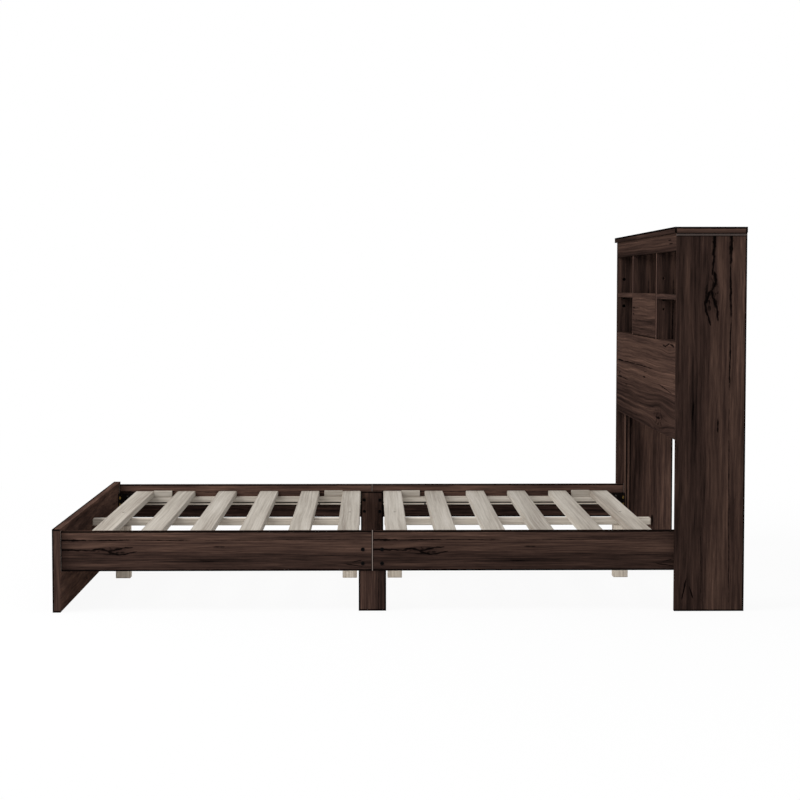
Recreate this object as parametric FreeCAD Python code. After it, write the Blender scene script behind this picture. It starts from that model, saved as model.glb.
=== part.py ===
import FreeCAD, Part
import math
import os

# Full-size bed with a bookcase headboard, made flat-packed from laminated board and pine.
# Millimetres. +X runs from the footboard to the headboard, +Z is up and the floor is z = 0.
# The origin is the middle of the bed's footprint. Left is +Y, seen from the foot of the bed.

Vector = FreeCAD.Vector
X, Y, Z = Vector(1, 0, 0), Vector(0, 1, 0), Vector(0, 0, 1)
SIDES = (("left", 1), ("right", -1))
ENDS = (("foot", -1), ("head", 1))

# the mattress, and the room left round it
MATTRESS_LENGTH = 1905.0
MATTRESS_WIDTH = 1372.0
LENGTH_ROOM = 13.0
WIDTH_ROOM = 16.0

# boards
BOARD = 18.0
FOOT_THICKNESS = 24.0
BACK_THICKNESS = 3.0

# footboard, side rails and the legs at the rails' joints
FOOT_HEIGHT = 261.0
RAIL_BOTTOM = 127.0
RAIL_HEIGHT = 126.0
RAIL_LEG_WIDTH = 86.0
RAIL_LEG_HEIGHT = 226.0
RAIL_LEG_SETBACK = 4.0         # the leg's foot behind the rail's outer face
RAIL_BOLT_OFFSET = 30.0        # from the rails' joint to each bolt
RAIL_BOLT_LOW = 23.0           # from the rail's bottom to the lower bolts
RAIL_BOLT_SPACING = 44.0
RAIL_BOLT_RADIUS = 3.0
RAIL_BOLT_HEAD_RADIUS = 6.0
RAIL_BOLT_HEAD_BEVEL = 1.0
RAIL_BOLT_HEAD = 2.5
RAIL_BOLT_SOCKET = 4.0         # across the flats
RAIL_BOLT_SOCKET_DEPTH = 1.8
SLEEVE_RADIUS = 4.2
SLEEVE_LENGTH = 14.0
SLEEVE_END_GAP = 4.0           # from the bolt's end to the sleeve nut's head

# corner brackets between the rails and the boards at their ends
BRACKET_THICKNESS = 3.0
BRACKET_HEIGHT = 60.0
BRACKET_RAIL_ARM = 60.0
BRACKET_END_ARM = 40.0
BRACKET_BOLT_RADIUS = 3.15
BRACKET_BOLT_DEPTH = 13.0
BRACKET_BOLT_SPACING = 27.0
BRACKET_SCREW_SPACING = 36.0
BOLT_FLANGE_RADIUS = 7.0
BOLT_FLANGE = 1.5
BOLT_HEX = 10.0                # across the flats
BOLT_HEX_HEIGHT = 4.5

# slatted base
SLATS_PER_HALF = 6
SLAT_WIDTH = 70.0
SLAT_THICKNESS = 21.0
SLAT_DROP = 25.0               # the slats' tops lie this far under the rails' tops
SLAT_END_GAP = 4.0             # from a slat's end to the rail
SLAT_BRACKET_GAP = 4.5         # from the corner bracket to the first slat
BEAM_LEG_GAP = 0.5             # from the rail leg to the side beam
BEAM_HEIGHT = 20.0
SIDE_BEAM_WIDTH = 25.0
CENTRE_BEAM_WIDTH = 45.0
CENTRE_BEAM_HEIGHT = 23.0
CENTRE_BEAM_GAP = 0.5          # from a centre beam's outer end to the footboard
LEDGER_HEIGHT = 12.0
LEDGER_WIDTH = 22.0
LEDGER_STEP = 4.0              # height, and width, of the step along a ledger's upper edge
LEDGER_STEP_WIDTH = 10.0
LEDGER_SCREW_INSET = 160.0     # from a ledger's end to its nearest screw
CENTRE_LEG_SIZE = 50.0
OUTER_LEG_SHIFT = 5.0          # the outer centre legs stand this far inside their slat's middle
BLOCK_LENGTH = 70.0
BLOCK_HEIGHT = 23.0
PINE_EDGE = 2.0                # bevel of the slats' and legs' long edges
BEAM_EDGE = 1.5                # bevel of the beams' and blocks' long edges

# headboard case
HEAD_HEIGHT = 1200.0
CASE_DEPTH = 218.0
TOP_OVERHANG = 8.0
APRON_HEIGHT = 56.5
CASE_FLOOR_TOP = 840.0
LOWER_PANEL_HEIGHT = 303.0
SHELF_TOP = 991.0
SHELF_THICKNESS = 16.5
SHELF_END_GAP = 1.0
SHELF_SETBACK = 1.5            # the side shelves' front edge behind the headboard's front
DIVIDER_SPACING = 576.0
DIVIDER_SETBACK = 2.0          # the dividers' front edges behind the headboard's front
LEG_BOARD_WIDTH = 76.0
LEG_BOARD_SETBACK = 28.0

# drop-front door of the middle compartment
DOOR_SIDE_GAP = 1.5
DOOR_FOOT_GAP = 0.6
FINGER_WIDTH = 110.0
FINGER_DEPTH = 15.0
FINGER_CORNER = 8.0
PIVOT_RADIUS = 3.0
PIVOT_ROOT_RADIUS = 3.5        # of the pin's part inside the door
PIVOT_IN_DOOR = 20.0
PIVOT_IN_BUSH = 8.0
BUSH_RADIUS = 5.0
BUSH_DEPTH = 10.0
BUSH_FLANGE_RADIUS = 7.0
BUSH_FLANGE = 1.0
CATCH_OFFSET = 140.0           # from the door's middle to each catch's middle
CATCH_WIDTH = 46.0
CATCH_DEPTH = 16.0
CATCH_HEIGHT = 14.0
CATCH_POLE = 2.0               # thickness of the rib between the magnet's two grooves
CATCH_GROOVE = 1.0
CATCH_GAP = 0.3
PLATE_WIDTH = 40.0
PLATE_HEIGHT = 12.0
PLATE_THICKNESS = 1.2

# cam locks, shelf pegs and screws
FIT = 0.05                     # clearance of a fitting in its hole, on each side
CAM_RADIUS = 7.5
CAM_SETBACK = 34.0             # from a board's end to the middle of its cam
CAM_EDGE = 40.0                # from a board's edge to the nearest cam
CAM_COVER = 0.5                # cam's metal beyond the bolt's head
CAM_SPARE = 0.5                # depth left under a cam
CAM_SLOT_WIDTH = 2.0
CAM_SLOT_DEPTH = 1.5
CAM_HEAD_RADIUS = 3.0
CAM_HEAD_LENGTH = 4.0
CAM_HEAD_ROOM = 0.2
CAM_BORE_RADIUS = 3.5
CAM_BOLT_RADIUS = 2.0
CAM_THREAD_DEPTH = 11.0
PEG_RADIUS = 4.0
PEG_REACH = 10.0
PEG_WEB = 2.0                  # wood left between two pegs from a divider's two faces
PEG_INSET = 25.5               # from the headboard's front, and its back, to the pegs
PEG_RISE = 71.5                # the spare holes above the pegs in use
PEG_FALL = 30.5                # the spare holes below them
SCREW_RADIUS = 2.0
SCREW_HEAD_RADIUS = 3.5
SCREW_POINT = 3.0
SHORT_SCREW = 15.0
LONG_SCREW = 35.0
LEG_SCREW_RADIUS = 2.5
LEG_SCREW_HEAD_RADIUS = 5.0
LEG_SCREW_IN_LEG = 30.0

# flats worked round the small fittings and their holes, whose radii are to the flats
SHANK_SIDES = 6
PEG_SIDES = 8
HEAD_SIDES = 10

# places along the bed
TOTAL_LENGTH = FOOT_THICKNESS + MATTRESS_LENGTH + LENGTH_ROOM + CASE_DEPTH
FOOT_OUTER = -TOTAL_LENGTH / 2
FOOT_INNER = FOOT_OUTER + FOOT_THICKNESS
FRONT = FOOT_INNER + MATTRESS_LENGTH + LENGTH_ROOM
BACK = FRONT + CASE_DEPTH
PANEL_FRONT = BACK - BACK_THICKNESS
LEG_BOARD_FRONT = FRONT + LEG_BOARD_SETBACK
RAIL_HALF = (LEG_BOARD_FRONT - FOOT_INNER) / 2
JOINT = FOOT_INNER + RAIL_HALF
CASE_FRONT = (FRONT, FRONT + BOARD)
SHELF_FRONT = FRONT + BOARD + PLATE_THICKNESS + CATCH_GAP

# places across the bed, from its middle
RAIL_IN = (MATTRESS_WIDTH + WIDTH_ROOM) / 2
RAIL_OUT = RAIL_IN + BOARD
PANEL_OUT = RAIL_OUT + BOARD
DIVIDER_IN = (DIVIDER_SPACING - BOARD) / 2
DIVIDER_OUT = DIVIDER_IN + BOARD
CASE_INSIDE = (-RAIL_OUT, RAIL_OUT)

# heights
RAIL_TOP = RAIL_BOTTOM + RAIL_HEIGHT
RAIL_MIDDLE = RAIL_BOTTOM + RAIL_HEIGHT / 2
SLAT_TOP = RAIL_TOP - SLAT_DROP
BEAM_TOP = SLAT_TOP - SLAT_THICKNESS
BEAM_BOTTOM = BEAM_TOP - BEAM_HEIGHT
CENTRE_BEAM_BOTTOM = BEAM_TOP - CENTRE_BEAM_HEIGHT
TOP_UNDERSIDE = HEAD_HEIGHT - BOARD
APRON_BOTTOM = TOP_UNDERSIDE - APRON_HEIGHT
CASE_FLOOR = (CASE_FLOOR_TOP - BOARD, CASE_FLOOR_TOP)
LOWER_PANEL_BOTTOM = CASE_FLOOR_TOP - LOWER_PANEL_HEIGHT
SHELF = (SHELF_TOP - SHELF_THICKNESS, SHELF_TOP)
PEG_HEIGHT = SHELF[0] - PEG_RADIUS
PEG_DEPTH = (BOARD - PEG_WEB) / 2
PIVOT = Vector(FRONT + BOARD / 2, 0, CASE_FLOOR_TOP + DOOR_FOOT_GAP + BOARD / 2)

# distances from the rails' joint, the same towards the foot and towards the head
BEAM_NEAR = RAIL_LEG_WIDTH / 2 + BEAM_LEG_GAP
BEAM_FAR = RAIL_HALF - BRACKET_RAIL_ARM - SLAT_BRACKET_GAP
SLAT_NEAREST = BEAM_NEAR + SLAT_WIDTH / 2
SLAT_FURTHEST = BEAM_FAR - SLAT_WIDTH / 2
SLAT_PITCH = (SLAT_FURTHEST - SLAT_NEAREST) / (SLATS_PER_HALF - 1)

parts = {}


def span(middle, sign, near, far):
    """Limits of a piece between two distances from a middle, on one side of it."""
    return sorted((middle + sign * near, middle + sign * far))


def about(middle, width):
    """Limits of a piece centred on a place."""
    return (middle - width / 2, middle + width / 2)


def block(x, y, z):
    """Square-edged piece between three pairs of limits."""
    return Part.makeBox(x[1] - x[0], y[1] - y[0], z[1] - z[0], Vector(x[0], y[0], z[0]))


def edges_along(piece, along):
    """The edges of a square-edged piece that run in one direction."""
    return [e for e in piece.Edges if round(abs(e.tangentAt(e.FirstParameter).dot(along)))]


def bevelled(piece, along, size):
    """The piece with a flat bevel on its edges in one direction."""
    return piece.makeChamfer(size, edges_along(piece, along))


def rod(start, along, length, radius):
    """Round bar from a point along a direction."""
    return Part.makeCylinder(radius, length, start, along)


def prism(points, along):
    """Straight bar whose section is the polygon through the points."""
    return Part.Face(Part.makePolygon(points + points[:1])).extrude(along)


def turned(start, along, steps, sides):
    """Bar of flat sides through rings, each (distance, radius to its flats); radius 0 is a point."""
    across = X if along.z else Z
    turns = [(i + 0.5) * 2 * math.pi / sides for i in range(sides)]
    corners = [(across * math.cos(a) + along.cross(across) * math.sin(a)) / math.cos(math.pi / sides)
               for a in turns]
    rings = [[start + along * distance + corner * radius for corner in corners]
             for distance, radius in steps]
    outlines = [rings[0]] + ([rings[-1]] if steps[-1][1] else [])
    for near, far, (_, radius) in zip(rings, rings[1:], steps[1:]):
        for i in range(sides):
            outlines.append([near[i - 1], near[i]] + ([far[i], far[i - 1]] if radius else [far[i]]))
    shell = Part.makeShell([Part.Face(Part.makePolygon(o + o[:1])) for o in outlines])
    shell.sewShape()
    return Part.makeSolid(shell).removeSplitter()


def bar(start, along, length, radius, sides=SHANK_SIDES):
    """Straight bar of flat sides, such as a shank, a peg or a hole for one."""
    return turned(start, along, [(0, radius), (length, radius)], sides)


def screw(start, along, length, radius, head_radius):
    """Countersunk screw with its head's face at the start and a pointed end."""
    return turned(start, along, [(0, head_radius), (head_radius - radius, radius),
                                 (length - SCREW_POINT, radius), (length, 0)], SHANK_SIDES)


def cut(name, *tools):
    """Cut the tools out of a piece, which stays one solid."""
    rest = parts[name]
    for tool in tools:
        rest = rest.cut(tool)
    parts[name] = rest.Solids[0]


def add(name, piece):
    """Put one more of the same kind into a group of like pieces."""
    parts.setdefault(name, []).append(piece)


def drive(group, holders, start, along, length, radius, head_radius):
    """Put a screw into a group, and its hole into each piece that it passes through."""
    add(group, screw(start, along, length, radius, head_radius))
    for name in holders:
        cut(name, screw(start, along, length, radius + FIT, head_radius + FIT))


# ---- footboard and side rails -------------------------------------------------------------

def build_footboard():
    """Thick board across the foot, standing on the floor, as wide as the headboard's case."""
    parts["footboard"] = block((FOOT_OUTER, FOOT_INNER), (-PANEL_OUT, PANEL_OUT), (0, FOOT_HEIGHT))


def build_rails():
    """Each side's rail is two equal boards, end to end, from footboard to leg board."""
    for side, s in SIDES:
        for end, e in ENDS:
            parts[f"rail_{end}_{side}"] = block(
                span(JOINT, e, 0, RAIL_HALF), span(0, s, RAIL_IN, RAIL_OUT), (RAIL_BOTTOM, RAIL_TOP))


def build_rail_legs():
    """Leg inside each side's joint, bolted through each rail half, whose thicker foot carries the rail."""
    low = RAIL_BOTTOM + RAIL_BOLT_LOW
    for side, s in SIDES:
        leg = f"rail_leg_{side}"
        along = about(JOINT, RAIL_LEG_WIDTH)
        board = block(along, span(0, s, RAIL_IN - BOARD, RAIL_IN), (0, RAIL_LEG_HEIGHT))
        foot = block(along, span(0, s, RAIL_IN, RAIL_OUT - RAIL_LEG_SETBACK), (0, RAIL_BOTTOM))
        parts[leg] = board.fuse(foot).removeSplitter()
        for end, e in ENDS:
            for z in (low, low + RAIL_BOLT_SPACING):
                bolt_rail(f"rail_{end}_{side}", leg, JOINT + e * RAIL_BOLT_OFFSET, s, z)


def bolt_rail(rail, leg, x, s, z):
    """Socket-head bolt from outside the rail into a sleeve nut from inside the leg."""
    outside, inside = Vector(x, s * RAIL_OUT, z), Vector(x, s * (RAIL_IN - BOARD), z)
    inward, outward = Y * -s, Y * s
    head = turned(outside, outward,
                  [(0, RAIL_BOLT_HEAD_RADIUS), (RAIL_BOLT_HEAD - RAIL_BOLT_HEAD_BEVEL, RAIL_BOLT_HEAD_RADIUS),
                   (RAIL_BOLT_HEAD, RAIL_BOLT_HEAD_RADIUS - RAIL_BOLT_HEAD_BEVEL)], HEAD_SIDES)
    socket = bar(outside + outward * RAIL_BOLT_HEAD, inward, RAIL_BOLT_SOCKET_DEPTH, RAIL_BOLT_SOCKET / 2)
    shank = bar(outside, inward, 2 * BOARD - SLEEVE_END_GAP, RAIL_BOLT_RADIUS)
    add("rail_leg_bolts", shank.fuse(head).cut(socket))
    nut = bar(inside, outward, SLEEVE_LENGTH, SLEEVE_RADIUS).fuse(
        bar(inside, inward, RAIL_BOLT_HEAD, RAIL_BOLT_HEAD_RADIUS, HEAD_SIDES))
    bore = bar(inside, outward, 2 * BOARD, RAIL_BOLT_RADIUS + FIT)
    add("rail_leg_nuts", nut.cut(bore))
    cut(rail, bore)
    cut(leg, bore, bar(inside, outward, SLEEVE_LENGTH, SLEEVE_RADIUS + FIT))


def build_brackets():
    """Steel angle in each corner, screwed to the rail and bolted to the board at its end."""
    for side, s in SIDES:
        for end, e in ENDS:
            end_board = "footboard" if end == "foot" else f"leg_board_{side}"
            build_bracket(f"rail_{end}_{side}", end_board, e, s)


def build_bracket(rail, end_board, e, s):
    """One angle, its two flanged bolts and its two screws."""
    height = about(RAIL_MIDDLE, BRACKET_HEIGHT)
    rail_arm = block(span(JOINT, e, RAIL_HALF - BRACKET_RAIL_ARM, RAIL_HALF),
                     span(0, s, RAIL_IN - BRACKET_THICKNESS, RAIL_IN), height)
    end_arm = block(span(JOINT, e, RAIL_HALF - BRACKET_THICKNESS, RAIL_HALF),
                    span(0, s, RAIL_IN - BRACKET_END_ARM, RAIL_IN), height)
    angle = rail_arm.fuse(end_arm).removeSplitter()
    bolt_x = JOINT + e * (RAIL_HALF - BRACKET_THICKNESS)
    bolt_y = s * (RAIL_IN - (BRACKET_THICKNESS + BRACKET_END_ARM) / 2)
    for z in about(RAIL_MIDDLE, BRACKET_BOLT_SPACING):
        seat = Vector(bolt_x, bolt_y, z)
        depth = BRACKET_THICKNESS + BRACKET_BOLT_DEPTH
        bolt = bar(seat, X * e, depth, BRACKET_BOLT_RADIUS).fuse(
            [bar(seat, X * -e, BOLT_FLANGE, BOLT_FLANGE_RADIUS, HEAD_SIDES),
             bar(seat + X * (-e * BOLT_FLANGE), X * -e, BOLT_HEX_HEIGHT, BOLT_HEX / 2)])
        add("bracket_bolts", bolt)
        hole = bar(seat, X * e, depth, BRACKET_BOLT_RADIUS + FIT)
        angle = angle.cut(hole)
        cut(end_board, hole)
    screw_x = JOINT + e * (RAIL_HALF - (BRACKET_THICKNESS + BRACKET_RAIL_ARM) / 2)
    for z in about(RAIL_MIDDLE, BRACKET_SCREW_SPACING):
        start = Vector(screw_x, s * (RAIL_IN - BRACKET_THICKNESS), z)
        drive("bracket_screws", [rail], start, Y * s, SHORT_SCREW, SCREW_RADIUS, SCREW_HEAD_RADIUS)
        angle = angle.cut(screw(start, Y * s, SHORT_SCREW, SCREW_RADIUS + FIT, SCREW_HEAD_RADIUS + FIT))
    add("corner_brackets", angle)


# ---- slatted base -------------------------------------------------------------------------

def build_ledgers():
    """Strip screwed along each rail half, stepped along its top, that carries the side beam."""
    bottom, step = BEAM_BOTTOM - LEDGER_HEIGHT, BEAM_BOTTOM - LEDGER_STEP
    screw_z = (bottom + step) / 2
    for side, s in SIDES:
        wall, face = s * RAIL_IN, s * (RAIL_IN - LEDGER_WIDTH)
        rise = face + s * LEDGER_STEP_WIDTH
        section = [(wall, bottom), (face, bottom), (face, step), (rise, step), (rise, BEAM_BOTTOM),
                   (wall, BEAM_BOTTOM)]
        for end, e in ENDS:
            start, stop = span(JOINT, e, BEAM_NEAR, BEAM_FAR)
            name = f"ledger_{end}_{side}"
            parts[name] = prism([Vector(start, y, z) for y, z in section], X * (stop - start))
            for x in (start + LEDGER_SCREW_INSET, stop - LEDGER_SCREW_INSET):
                drive("long_screws", [name, f"rail_{end}_{side}"], Vector(x, face, screw_z), Y * s,
                      LONG_SCREW, SCREW_RADIUS, SCREW_HEAD_RADIUS)
            add("ledgers", parts.pop(name))


def build_side_beams():
    """Pine beam on each ledger, against the rail, under the ends of six slats."""
    for side, s in SIDES:
        for end, e in ENDS:
            beam = block(span(JOINT, e, BEAM_NEAR, BEAM_FAR),
                         span(0, s, RAIL_IN - SIDE_BEAM_WIDTH, RAIL_IN), (BEAM_BOTTOM, BEAM_TOP))
            parts[f"side_beam_{end}_{side}"] = bevelled(beam, X, BEAM_EDGE)


def build_centre_beams():
    """Taller pine beam down the middle of each half, under the slats."""
    for end, e in ENDS:
        beam = block(span(JOINT, e, RAIL_LEG_WIDTH / 2, RAIL_HALF - CENTRE_BEAM_GAP),
                     about(0, CENTRE_BEAM_WIDTH), (CENTRE_BEAM_BOTTOM, BEAM_TOP))
        parts[f"centre_beam_{end}"] = bevelled(beam, X, BEAM_EDGE)


def build_slats():
    """Twelve pine slats across the beams, six in each half."""
    offsets = [SLAT_NEAREST + i * SLAT_PITCH for i in range(SLATS_PER_HALF)]
    middles = sorted(JOINT + e * offset for _, e in ENDS for offset in offsets)
    reach = RAIL_IN - SLAT_END_GAP
    for number, x in enumerate(middles, 1):
        slat = block(about(x, SLAT_WIDTH), (-reach, reach), (BEAM_TOP, SLAT_TOP))
        parts[f"slat_{number:02d}"] = bevelled(slat, Y, PINE_EDGE)


def build_centre_legs():
    """Square pine legs under the first and last slat of each half, screwed from above."""
    last = 2 * SLATS_PER_HALF
    outer = SLAT_FURTHEST - OUTER_LEG_SHIFT
    stands = [(1, "foot", -outer), (SLATS_PER_HALF, "foot", -SLAT_NEAREST),
              (SLATS_PER_HALF + 1, "head", SLAT_NEAREST), (last, "head", outer)]
    length = SLAT_THICKNESS + CENTRE_BEAM_HEIGHT + LEG_SCREW_IN_LEG
    for number, (slat, end, offset) in enumerate(stands, 1):
        x = JOINT + offset
        leg = block(about(x, CENTRE_LEG_SIZE), about(0, CENTRE_LEG_SIZE), (0, CENTRE_BEAM_BOTTOM))
        parts[f"centre_leg_{number}"] = bevelled(leg, Z, PINE_EDGE)
        drive("leg_screws", [f"slat_{slat:02d}", f"centre_beam_{end}", f"centre_leg_{number}"],
              Vector(x, 0, SLAT_TOP), -Z, length, LEG_SCREW_RADIUS, LEG_SCREW_HEAD_RADIUS)


def build_frame_blocks():
    """Short block on each side beam beside the first and last slat of each half."""
    inner = SLAT_NEAREST + SLAT_WIDTH / 2
    outer = SLAT_FURTHEST - SLAT_WIDTH / 2
    for _, s in SIDES:
        for _, e in ENDS:
            for near, far in ((inner, inner + BLOCK_LENGTH), (outer - BLOCK_LENGTH, outer)):
                piece = block(span(JOINT, e, near, far), span(0, s, RAIL_IN - SIDE_BEAM_WIDTH, RAIL_IN),
                              (BEAM_TOP, BEAM_TOP + BLOCK_HEIGHT))
                add("frame_blocks", bevelled(piece, X, BEAM_EDGE))


# ---- headboard case -----------------------------------------------------------------------

def build_case_boards():
    """Sides to the floor, top, apron, lower panel, floor, back and the two leg boards."""
    behind_front = (FRONT + BOARD, PANEL_FRONT)
    for side, s in SIDES:
        parts[f"side_panel_{side}"] = block(
            (FRONT, BACK), span(0, s, RAIL_OUT, PANEL_OUT), (0, TOP_UNDERSIDE))
        parts[f"leg_board_{side}"] = block(
            (LEG_BOARD_FRONT, LEG_BOARD_FRONT + BOARD),
            span(0, s, RAIL_OUT - LEG_BOARD_WIDTH, RAIL_OUT), (0, CASE_FLOOR[0]))
    top_reach = PANEL_OUT + TOP_OVERHANG
    parts["top_board"] = block(
        (FRONT - TOP_OVERHANG, BACK), (-top_reach, top_reach), (TOP_UNDERSIDE, HEAD_HEIGHT))
    parts["apron"] = block(CASE_FRONT, CASE_INSIDE, (APRON_BOTTOM, TOP_UNDERSIDE))
    parts["lower_panel"] = block(CASE_FRONT, CASE_INSIDE, (LOWER_PANEL_BOTTOM, CASE_FLOOR_TOP))
    parts["case_floor"] = block(behind_front, CASE_INSIDE, CASE_FLOOR)
    parts["back_panel"] = block((PANEL_FRONT, BACK), CASE_INSIDE, (CASE_FLOOR[0], TOP_UNDERSIDE))


def build_dividers():
    """Two uprights notched round the apron, screwed from under the case's floor."""
    notch_height = (APRON_BOTTOM, TOP_UNDERSIDE)
    for side, s in SIDES:
        across = span(0, s, DIVIDER_IN, DIVIDER_OUT)
        name = f"divider_{side}"
        parts[name] = block((FRONT + DIVIDER_SETBACK, PANEL_FRONT), across, (CASE_FLOOR_TOP, TOP_UNDERSIDE))
        cut(name, block(CASE_FRONT, across, notch_height))
        for x in (FRONT + BOARD + CAM_EDGE, PANEL_FRONT - CAM_EDGE):
            place = Vector(x, s * DIVIDER_SPACING / 2, CASE_FLOOR[0])
            drive("long_screws", ["case_floor", name], place, Z,
                  LONG_SCREW, SCREW_RADIUS, SCREW_HEAD_RADIUS)


def build_shelves():
    """One loose shelf in each column, the middle one with a finger recess behind the door."""
    for side, s in SIDES:
        parts[f"shelf_{side}"] = block(
            (FRONT + SHELF_SETBACK, PANEL_FRONT),
            span(0, s, DIVIDER_OUT + SHELF_END_GAP, RAIL_OUT - SHELF_END_GAP), SHELF)
    reach = DIVIDER_IN - SHELF_END_GAP
    parts["shelf_middle"] = block((SHELF_FRONT, PANEL_FRONT), (-reach, reach), SHELF)
    recess = block((SHELF_FRONT - FINGER_DEPTH, SHELF_FRONT + FINGER_DEPTH), about(0, FINGER_WIDTH), SHELF)
    cut("shelf_middle", recess.makeFillet(FINGER_CORNER, edges_along(recess, Z)))


def build_shelf_pegs():
    """Pegs under each shelf's four corners, with spare holes above and below the side shelves."""
    front, back = FRONT + PEG_INSET, BACK - PEG_INSET
    for side, s in SIDES:
        side_panel, divider = f"side_panel_{side}", f"divider_{side}"
        for x in (front, back):
            for board, face, out in ((side_panel, RAIL_OUT, -s), (divider, DIVIDER_OUT, s),
                                     (divider, DIVIDER_IN, -s)):
                bottom = peg_hole(board, bar, x, s * face, out, 0)
                add("shelf_pegs", bar(bottom, Y * out, PEG_DEPTH + PEG_REACH, PEG_RADIUS, PEG_SIDES))
            for lift in (PEG_RISE, -PEG_FALL):
                peg_hole(divider, bar, x, s * DIVIDER_OUT, s, lift)
        peg_hole(side_panel, rod, front, s * RAIL_OUT, -s, PEG_RISE)
        peg_hole(side_panel, bar, back, s * RAIL_OUT, -s, PEG_RISE)
        for x in (front, back):
            peg_hole(side_panel, bar, x, s * RAIL_OUT, -s, -PEG_FALL)


def peg_hole(board, shape, x, face, out, lift):
    """Blind hole in an upright's face, at or above the pegs in use; gives the middle of its bottom."""
    bottom = Vector(x, face - out * PEG_DEPTH, PEG_HEIGHT + lift)
    sides = [PEG_SIDES] if shape is bar else []
    cut(board, shape(bottom, Y * out, PEG_DEPTH, PEG_RADIUS + FIT, *sides))
    return bottom


def build_cam_joints():
    """The case's boards are drawn together by cams in one board and bolts in the next."""
    edge, middle = FRONT + BOARD + CAM_EDGE, BOARD / 2
    panel_heights = (LOWER_PANEL_BOTTOM + CAM_EDGE, CASE_FLOOR[0] - CAM_EDGE)
    for side, s in SIDES:
        panel, inward = f"side_panel_{side}", Y * -s
        for z in panel_heights:
            cam_joint("lower_panel", panel, Vector(FRONT + middle, s * RAIL_OUT, z), inward, X)
        for x in (edge, PANEL_FRONT - CAM_EDGE):
            cam_joint("case_floor", panel, Vector(x, s * RAIL_OUT, CASE_FLOOR[0] + middle), inward, -Z)
        cam_joint("apron", panel, Vector(FRONT + middle, s * RAIL_OUT, APRON_BOTTOM + APRON_HEIGHT / 2),
                  inward, X)
        for z in (RAIL_BOTTOM - CAM_EDGE, CASE_FLOOR[0] - CAM_EDGE):
            cam_joint(f"leg_board_{side}", panel, Vector(LEG_BOARD_FRONT + middle, s * RAIL_OUT, z),
                      inward, X)
        for x in (edge, PANEL_FRONT - CAM_EDGE):
            cam_joint(panel, "top_board", Vector(x, s * (RAIL_OUT + middle), TOP_UNDERSIDE), -Z, inward)
        cam_joint(f"divider_{side}", "top_board", Vector(edge, s * DIVIDER_SPACING / 2, TOP_UNDERSIDE),
                  -Z, inward)


def cam_joint(board, mate, end, into, face):
    """Cam in a board, near its end, holding the head of a bolt that stands in its mate."""
    middle = end + into * CAM_SETBACK
    mouth = middle + face * (BOARD / 2)
    height = BOARD / 2 + CAM_HEAD_RADIUS + CAM_COVER
    cut(board, bar(mouth, -face, height + CAM_SPARE, CAM_RADIUS + FIT, PEG_SIDES),
        bar(end, into, CAM_SETBACK, CAM_BORE_RADIUS))
    cut(mate, bar(end, -into, CAM_THREAD_DEPTH, CAM_BOLT_RADIUS + FIT))
    side = into.cross(face)
    head_room = bar(middle + into * CAM_HEAD_LENGTH, -into, 2 * CAM_RADIUS,
                    CAM_HEAD_RADIUS + CAM_HEAD_ROOM)
    slot_floor = mouth - face * CAM_SLOT_DEPTH
    slot = prism([slot_floor + side * (u * CAM_RADIUS) + into * (v * CAM_SLOT_WIDTH / 2)
                  for u, v in ((-1, -1), (1, -1), (1, 1), (-1, 1))], face * CAM_SLOT_DEPTH)
    add("cam_locks", bar(mouth, -face, height, CAM_RADIUS, PEG_SIDES).cut(head_room).cut(slot))
    add("cam_bolts", turned(end, into, [(-CAM_THREAD_DEPTH, CAM_BOLT_RADIUS), (CAM_SETBACK, CAM_BOLT_RADIUS),
                                        (CAM_SETBACK, CAM_HEAD_RADIUS),
                                        (CAM_SETBACK + CAM_HEAD_LENGTH, CAM_HEAD_RADIUS)], SHANK_SIDES))


# ---- drop-front door ----------------------------------------------------------------------

def build_door():
    """Door whose lower front edge is rounded about the pivots, so it swings down past the panel."""
    half, reach = BOARD / 2, DIVIDER_IN - DOOR_SIDE_GAP
    bottom = PIVOT.z - half

    def corner(x, z):
        return Vector(x, -reach, z)

    arc = Part.Arc(corner(FRONT, PIVOT.z),
                   corner(PIVOT.x - half * math.cos(math.pi / 4), PIVOT.z - half * math.sin(math.pi / 4)),
                   corner(PIVOT.x, bottom)).toShape()
    outline = Part.makePolygon([corner(PIVOT.x, bottom), corner(FRONT + BOARD, bottom),
                                corner(FRONT + BOARD, SHELF_TOP), corner(FRONT, SHELF_TOP),
                                corner(FRONT, PIVOT.z)])
    section = Part.Face(Part.Wire([arc] + outline.Edges))
    parts["drop_door"] = section.extrude(Y * (2 * reach))


def build_door_pivots():
    """Steel pin pressed by its flats into each end of the door, round where it turns in its bush."""
    reach = DIVIDER_IN - DOOR_SIDE_GAP
    for side, s in SIDES:
        outward = Y * s
        wall = PIVOT + outward * DIVIDER_IN
        door_end = PIVOT + outward * reach
        root = bar(door_end, -outward, PIVOT_IN_DOOR, PIVOT_ROOT_RADIUS)
        add("door_pins", rod(door_end, outward, DOOR_SIDE_GAP + PIVOT_IN_BUSH, PIVOT_RADIUS).fuse(root))
        cut("drop_door", root)
        bush = turned(wall, outward, [(-BUSH_FLANGE, BUSH_FLANGE_RADIUS), (0, BUSH_FLANGE_RADIUS),
                                      (0, BUSH_RADIUS), (BUSH_DEPTH, BUSH_RADIUS)], HEAD_SIDES)
        bore = bar(wall - outward * BUSH_FLANGE, outward, BUSH_FLANGE + BUSH_DEPTH, PIVOT_RADIUS + FIT,
                   HEAD_SIDES)
        add("door_bushes", bush.cut(bore))
        cut(f"divider_{side}", bar(wall, outward, BUSH_DEPTH, BUSH_RADIUS + FIT, HEAD_SIDES))


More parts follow.
